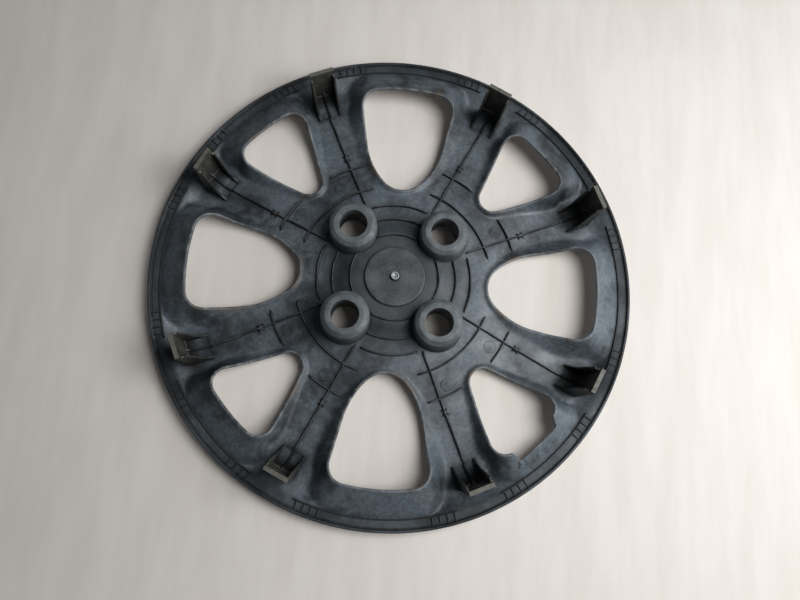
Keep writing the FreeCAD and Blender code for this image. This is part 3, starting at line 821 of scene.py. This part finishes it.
# ---------------------------------------------------------------- materials
class Look:
    """A material with short calls for its nodes; lengths are in millimetres."""

    def __init__(self, name, **sockets):
        self.material = bpy.data.materials.new(name)
        self.material.use_nodes = True
        self.tree = self.material.node_tree
        self.shader = self.tree.nodes["Principled BSDF"]
        for socket, value in sockets.items():
            self.shader.inputs[socket.replace("_", " ")].default_value = value
        self.place = self.tree.nodes.new("ShaderNodeTexCoord").outputs["Object"]

    def node(self, kind, **settings):
        node = self.tree.nodes.new(kind)
        for name, value in settings.items():
            setattr(node, name, value)
        return node

    def feed(self, socket, value):
        """Link an output to a socket, or set a plain value."""
        if isinstance(value, bpy.types.NodeSocket):
            self.tree.links.new(value, socket)
        else:
            socket.default_value = value

    def noise(self, feature, detail=3.0, roughness=0.55, stretch=None):
        """Noise whose blots are about feature millimetres wide."""
        node = self.node("ShaderNodeTexNoise")
        place = self.place
        if stretch:
            mapping = self.node("ShaderNodeMapping")
            mapping.inputs["Scale"].default_value = stretch
            self.feed(mapping.inputs["Vector"], place)
            place = mapping.outputs["Vector"]
        self.feed(node.inputs["Vector"], place)
        node.inputs["Scale"].default_value = 1.0 / (MM * feature)
        node.inputs["Detail"].default_value = detail
        node.inputs["Roughness"].default_value = roughness
        return node.outputs["Fac"]

    def attribute(self, name):
        return self.node("ShaderNodeAttribute", attribute_name=name).outputs["Fac"]

    def band(self, value, low, high, start=0.0, end=1.0):
        """Smooth change from start to end while value goes from low to high."""
        node = self.node("ShaderNodeMapRange", interpolation_type="SMOOTHSTEP")
        self.feed(node.inputs["Value"], value)
        limits = {"From Min": low, "From Max": high, "To Min": start, "To Max": end}
        for socket, number in limits.items():
            node.inputs[socket].default_value = number
        return node.outputs["Result"]

    def math(self, operation, a, b):
        """A sum, product or larger value of two shares, kept between 0 and 1."""
        node = self.node("ShaderNodeMath", operation=operation, use_clamp=True)
        self.feed(node.inputs[0], a)
        self.feed(node.inputs[1], b)
        return node.outputs[0]

    def both(self, a, b):
        """Product of two shares."""
        return self.math("MULTIPLY", a, b)

    def mix(self, share, a, b):
        node = self.node("ShaderNodeMix", data_type="RGBA")
        self.feed(node.inputs["Factor"], share)
        for socket, value in ((node.inputs[6], a), (node.inputs[7], b)):
            self.feed(socket, (*value, 1.0) if isinstance(value, tuple) else value)
        return node.outputs[2]

    def in_millimetres(self, metres):
        node = self.node("ShaderNodeMath", operation="MULTIPLY")
        self.feed(node.inputs[0], metres)
        node.inputs[1].default_value = 1.0 / MM
        return node.outputs[0]

    def height_axis(self):
        """Height above the floor, in millimetres."""
        split = self.node("ShaderNodeSeparateXYZ")
        self.feed(split.inputs[0], self.place)
        return self.in_millimetres(split.outputs["Z"])

    def radius(self):
        """Distance from the cover's axis, in millimetres."""
        split = self.node("ShaderNodeSeparateXYZ")
        self.feed(split.inputs[0], self.place)
        flat = self.node("ShaderNodeCombineXYZ")
        self.feed(flat.inputs["X"], split.outputs["X"])
        self.feed(flat.inputs["Y"], split.outputs["Y"])
        length = self.node("ShaderNodeVectorMath", operation="LENGTH")
        self.feed(length.inputs[0], flat.outputs[0])
        return self.in_millimetres(length.outputs["Value"])

    def facing_up(self, low, high):
        """0 to 1 while the surface's upward share goes from low to high."""
        split = self.node("ShaderNodeSeparateXYZ")
        self.feed(split.inputs[0], self.node("ShaderNodeNewGeometry").outputs["Normal"])
        return self.band(split.outputs["Z"], low, high)

    def finish(self, colour, roughness, *bumps):
        """bumps are (height output, depth in millimetres, strength)."""
        self.feed(self.shader.inputs["Base Color"], colour)
        self.feed(self.shader.inputs["Roughness"], roughness)
        normal = None
        for height, depth, strength in bumps:
            node = self.node("ShaderNodeBump")
            node.inputs["Distance"].default_value = depth * MM
            node.inputs["Strength"].default_value = strength
            self.feed(node.inputs["Height"], height)
            if normal is not None:
                self.feed(node.inputs["Normal"], normal)
            normal = node.outputs["Normal"]
        if normal is not None:
            self.feed(self.shader.inputs["Normal"], normal)
        return self.material


DARK = (0.016, 0.019, 0.022)
BLUE_GREY = (0.096, 0.117, 0.135)
DUST = (0.20, 0.20, 0.19)
BLACK = (0.006, 0.006, 0.006)
SOILED = (0.018, 0.021, 0.023)
BROWN = (0.085, 0.055, 0.030)
EDGE_WEAR_AND_HIGHLIGHT = (0.165, 0.168, 0.160)


def dusted(look, amount):
    """Base plastic: dark, with clouds of blue-grey overspray and a little dust."""
    wide = look.noise(48.0, 4.0, 0.6)
    fine = look.noise(11.0, 5.0, 0.65)
    clouds = look.math("ADD", look.both(wide, 0.62), look.both(fine, 0.38))
    colour = look.mix(look.band(clouds, 0.5 - amount, 0.62 - amount * 0.3), DARK, BLUE_GREY)
    grain = look.band(look.noise(2.6, 4.0, 0.75), 0.36, 0.60, 0.0, 1.0)
    colour = look.mix(look.both(grain, 0.45), colour, DARK)
    speck = look.noise(1.3, 2.0, 0.7)
    return look.mix(look.both(look.band(speck, 0.55, 0.8), 0.25), colour, DUST)


def back_plastic():
    """Plastic of the shell's back, with its wear, stains, sooty marks, cracks and dirty lines, and with
    a painted highlight on window edges and painted shade in the clips' pockets and at the feet of ribs,
    sleeves and clips.
    """
    look = Look("back_plastic")
    colour = dusted(look, 0.13)
    # pale wear with a painted highlight, and brown stains, along the windows' edges
    edge = look.attribute("edge_gap")
    shaky = look.noise(5.0, 3.0, 0.6)
    # pale wear and a painted highlight along each window's edge
    worn_and_lit_edge = look.both(look.band(edge, 1.2, 2.2, 1.0, 0.0), look.band(shaky, 0.40, 0.68, 0.0, 0.7))
    colour = look.mix(worn_and_lit_edge, colour, EDGE_WEAR_AND_HIGHLIGHT)
    stains = look.both(look.band(edge, 1.0, 5.0, 1.0, 0.0), look.band(look.noise(30.0, 3.0), 0.55, 0.68))
    colour = look.mix(look.both(stains, 0.75), colour, BROWN)
    # sooty smudges and painted shade round the clips and in their pockets, and sooty darkening on the
    # hub and on the rim
    pocket_soot_and_shade = look.both(look.attribute("soot_and_pocket_shade"), look.band(look.noise(9.0, 4.0, 0.6), 0.25, 0.6, 0.55, 1.0))
    colour = look.mix(look.band(pocket_soot_and_shade, 0.10, 0.80, 0.0, 0.82), colour, BLACK)
    radius = look.radius()
    colour = look.mix(look.band(radius, 46.0, 66.0, 0.72, 0.0), colour, SOILED)
    wide = look.noise(55.0, 2.0)
    sooty_rim = look.both(look.band(radius, 177.0, 182.0), look.band(wide, 0.35, 0.6, 0.9, 0.5))
    colour = look.mix(sooty_rim, colour, SOILED)
    # hairline cracks beside the broken window edge
    split = look.node("ShaderNodeTexVoronoi", feature="DISTANCE_TO_EDGE")
    look.feed(split.inputs["Vector"], look.place)
    split.inputs["Scale"].default_value = 130.0
    near_chip = look.band(look.attribute("chip_gap"), 4.0, 11.0, 1.0, 0.0)
    cracks = look.both(look.band(split.outputs["Distance"], 0.01, 0.05, 0.8, 0.0), near_chip)
    cracks = look.both(cracks, look.band(look.noise(16.0, 2.0), 0.50, 0.58))
    colour = look.mix(cracks, colour, BLACK)
    # black dirty lines with painted shade in the corners beside ribs, sleeves and clips, and a darker
    # dirty halo with painted shade around them
    gap = look.attribute("dirt_and_shade_gap")
    wobble = look.noise(3.0, 2.0, 0.6)
    lines = look.both(look.band(gap, 0.5, 1.5, 1.0, 0.0), look.band(wobble, 0.2, 0.55, 0.5, 1.0))
    colour = look.mix(look.both(lines, 0.95), colour, BLACK)
    grime_and_shade = look.both(look.band(gap, 1.0, 6.0, 1.0, 0.0), look.band(look.noise(14.0, 4.0), 0.42, 0.66))
    colour = look.mix(look.both(grime_and_shade, 0.35), colour, DARK)
    roughness = look.band(look.noise(20.0, 4.0), 0.3, 0.7, 0.40, 0.66)
    # sooty places, and the painted shade in the clips' pockets, are matt
    matt = look.math("MAXIMUM", pocket_soot_and_shade, sooty_rim)
    look.feed(look.shader.inputs["Specular IOR Level"], look.band(matt, 0.0, 1.0, 0.45, 0.10))
    return look.finish(
        colour, roughness,
        (look.noise(7.0, 3.0), 0.25, 0.35),
        (look.noise(0.9, 2.0, 0.7), 0.06, 0.5),
    )


def rib_plastic(name, level):
    """Plastic of the ribs: black with dirt, greyer on top where it faces up, as wear and a painted
    highlight.
    """
    look = Look(name, Specular_IOR_Level=0.35)
    # wear and a painted highlight: faces turned up are lighter
    worn = look.both(look.facing_up(0.6, 0.95), look.band(look.noise(16.0, 4.0), 0.35, 0.65))
    colour = look.mix(look.both(worn, level), (0.012, 0.012, 0.013), (0.10, 0.115, 0.13))
    roughness = look.band(look.noise(6.0), 0.3, 0.7, 0.5, 0.75)
    return look.finish(colour, roughness, (look.noise(1.2), 0.05, 0.4))


def front_paint():
    """Silver paint of the hidden front face, scuffed and dusty."""
    look = Look("front_paint", Metallic=0.55, Coat_Weight=0.25, Coat_Roughness=0.25)
    scuffs = look.band(look.noise(6.0, 6.0, 0.7, (1.0, 6.0, 1.0)), 0.60, 0.72)
    flakes = look.band(look.noise(0.5, 1.0), 0.3, 0.7)
    colour = look.mix(flakes, (0.40, 0.41, 0.43), (0.55, 0.56, 0.58))
    colour = look.mix(look.both(scuffs, 0.5), colour, (0.20, 0.20, 0.20))
    edge = look.both(look.band(look.attribute("edge_gap"), 0.3, 1.6, 1.0, 0.0),
                     look.band(look.noise(4.0, 4.0), 0.45, 0.6))
    colour = look.mix(edge, colour, DARK)
    roughness = look.band(look.noise(12.0, 5.0), 0.3, 0.7, 0.30, 0.48)
    return look.finish(colour, roughness, (look.noise(1.6, 2.0), 0.04, 0.25))


def sleeve_plastic():
    look = Look("sleeve_plastic", Specular_IOR_Level=0.45)
    clouds = look.band(look.noise(9.0, 5.0, 0.65), 0.3, 0.7)
    colour = look.mix(clouds, (0.048, 0.056, 0.059), (0.104, 0.117, 0.120))
    colour = look.mix(look.both(look.band(look.noise(1.1, 2.0), 0.55, 0.8), 0.35), colour, DUST)
    # painted shade: each sleeve is darkened towards its foot, below 30 mm
    low = look.band(look.height_axis(), 15.0, 30.0, 1.0, 0.0)
    colour = look.mix(look.both(low, 0.72), colour, (0.022, 0.024, 0.026))
    roughness = look.band(look.noise(5.0, 3.0), 0.3, 0.7, 0.42, 0.62)
    return look.finish(
        colour, roughness,
        (look.noise(2.5, 3.0), 0.12, 0.35),
        (look.noise(0.7), 0.04, 0.4),
    )


def disc_plastic():
    look = Look("disc_plastic", Specular_IOR_Level=0.45)
    clouds = look.band(look.noise(17.0, 5.0, 0.6), 0.35, 0.7)
    colour = look.mix(clouds, (0.021, 0.025, 0.027), (0.056, 0.064, 0.067))
    colour = look.mix(look.both(look.band(look.noise(0.9, 2.0), 0.5, 0.8), 0.3), colour, DUST)
    roughness = look.band(look.noise(8.0, 3.0), 0.3, 0.7, 0.36, 0.55)
    return look.finish(colour, roughness, (look.noise(0.6, 2.0), 0.03, 0.4))


def stub_plastic():
    look = Look("stub_plastic", Specular_IOR_Level=0.6)
    # faces turned up are pale and the sides dark: a cut face with a painted highlight on top
    colour = look.mix(look.facing_up(0.3, 0.9), (0.05, 0.055, 0.06), (0.26, 0.28, 0.29))
    colour = look.mix(look.band(look.noise(1.5, 3.0), 0.45, 0.7, 0.0, 0.5), colour, (0.10, 0.11, 0.11))
    return look.finish(colour, 0.32, (look.noise(0.8, 2.0), 0.06, 0.5))


def pad_plastic():
    look = Look("pad_plastic", Specular_IOR_Level=0.4)
    colour = dusted(look, 0.10)
    colour = look.mix(look.facing_up(0.8, 0.97), BLACK, colour)
    roughness = look.band(look.noise(10.0), 0.3, 0.7, 0.42, 0.62)
    return look.finish(colour, roughness, (look.noise(0.9), 0.05, 0.5))


def clip_plastic():
    """Olive-grey plastic of the clips, with painted shade low down, pale on the lips with wear and a
    painted highlight on the ledge; the slope at the foot looks like the spoke, with painted shade
    towards the wall.
    """
    look = Look("clip_plastic")
    streaks = look.noise(6.0, 4.0, 0.65, (1.0, 1.0, 0.35))
    colour = look.mix(look.band(streaks, 0.35, 0.68), (0.018, 0.018, 0.016), (0.050, 0.048, 0.040))
    height = look.height_axis()
    # painted shade: the clip darkens towards its foot, from 34 mm down to 13 mm
    colour = look.mix(look.band(height, 13.0, 34.0, 0.6, 0.0), colour, BLACK)
    # painted shade: the slope between the cheeks takes the shell's plastic, darkened more towards the
    # wall; its rib is black
    spoke = look.mix(look.band(height, 2.4, 9.0, 0.52, 0.92), dusted(look, 0.10), BLACK)
    middle_gap = look.attribute("middle_gap")
    spoke = look.mix(look.band(middle_gap, 0.65, 1.5), BLACK, spoke)
    between_cheeks = look.band(middle_gap, 8.2, 8.6, 1.0, 0.0)
    slope = look.both(look.band(height, 14.5, 14.8, 1.0, 0.0), between_cheeks)
    colour = look.mix(slope, colour, spoke)
    look.feed(look.shader.inputs["Specular IOR Level"], look.band(slope, 0.0, 1.0, 0.35, 0.16))
    # pale faces turned up above 14.6 mm: wear on the top lips, and a painted highlight on the ledge at
    # 15 mm, weaker below 43.5 mm
    lips = look.both(look.facing_up(0.2, 0.6), look.band(look.noise(4.0, 4.0), 0.25, 0.6, 0.45, 1.0))
    lips = look.both(lips, look.band(height, 14.6, 15.0))
    lips = look.both(lips, look.band(height, 43.5, 45.0, 0.45, 1.0))
    colour = look.mix(lips, colour, (0.100, 0.094, 0.079))
    roughness = look.band(look.noise(5.0, 3.0), 0.3, 0.7, 0.45, 0.7)
    return look.finish(
        colour, roughness,
        (look.noise(3.0, 3.0), 0.15, 0.35),
        (look.noise(0.8), 0.05, 0.4),
    )


def floor_finish():
    look = Look("floor_finish", Specular_IOR_Level=0.3)
    grain = look.noise(60.0, 5.0, 0.6, (3.0, 0.5, 1.0))
    colour = look.mix(look.band(grain, 0.3, 0.7), (0.585, 0.540, 0.490), (0.635, 0.590, 0.545))
    return look.finish(colour, 0.62)


BACK_PLASTIC = back_plastic()
FRONT_PAINT = front_paint()
RIB_PLASTIC = rib_plastic("rib_plastic", 0.6)
RIM_PLASTIC = rib_plastic("rim_rib_plastic", 0.1)
SLEEVE_PLASTIC = sleeve_plastic()
DISC_PLASTIC = disc_plastic()
STUB_PLASTIC = stub_plastic()
PAD_PLASTIC = pad_plastic()
CLIP_PLASTIC = clip_plastic()

# ---------------------------------------------------------------- the pieces
make_shell()
for node, lines in RIBS.items():
    make_ribs(node, lines, RIB_THICKNESS, low_rib_heights, RIB_TAPER, RIB_PLASTIC)
for node, lines in RIM_RIBS.items():
    make_ribs(node, lines, RIM_RIB_THICKNESS, rim_rib_heights, 0.0, RIM_PLASTIC)
for number, centre in enumerate(bosses(), start=1):
    make_sleeve(number, centre)
make_disc()
make_stub()
make_pads()
make_clips()

# ---------------------------------------------------------------- floor, light and camera
corner_signs = ((-1, -1), (1, -1), (1, 1), (-1, 1))
floor_corners = [(x * FLOOR_REACH, y * FLOOR_REACH, 0.0) for x, y in corner_signs]
floor_mesh = mesh_of("floor", floor_corners, [(0, 1, 2, 3)])
floor_mesh.materials.append(floor_finish())
floor = new_object("floor", floor_mesh)


def area_light(name, place, size, energy, colour):
    data = bpy.data.lights.new(name, "AREA")
    data.shape = "DISK"
    data.size = size
    data.energy = energy
    data.color = colour
    lamp = bpy.data.objects.new(name, data)
    lamp.location = place
    lamp.rotation_euler = (-Vector(place)).to_track_quat("-Z", "Y").to_euler()
    bpy.context.scene.collection.objects.link(lamp)


area_light("window_light", (0.43, 0.02, 0.73), 0.58, 6.9, (0.98, 0.99, 1.0))
area_light("low_light", (1.05, 0.08, 0.45), 1.0, 7.8, (0.86, 0.93, 1.0))
area_light("fill_light", (0.90, -0.40, 0.75), 0.8, 2.5, (1.0, 0.99, 0.97))

world = bpy.data.worlds.new("room")
world.use_nodes = True
world.node_tree.nodes["Background"].inputs["Color"].default_value = (0.80, 0.83, 0.88, 1.0)
world.node_tree.nodes["Background"].inputs["Strength"].default_value = 0.11
bpy.context.scene.world = world
bpy.context.scene.view_settings.view_transform = "Standard"

camera_data = bpy.data.cameras.new("camera")
camera_data.sensor_width = 36.0
camera_data.lens = 28.4
camera_data.clip_start = 0.01
camera = bpy.data.objects.new("camera", camera_data)
camera.location = (-0.0165, -0.1212, 0.4942)
tilt, roll, turn = 12.006, -3.576, 4.329
camera.rotation_euler = (math.radians(tilt), math.radians(roll), math.radians(turn))
bpy.context.scene.collection.objects.link(camera)
bpy.context.scene.camera = camera
bpy.context.view_layer.update()
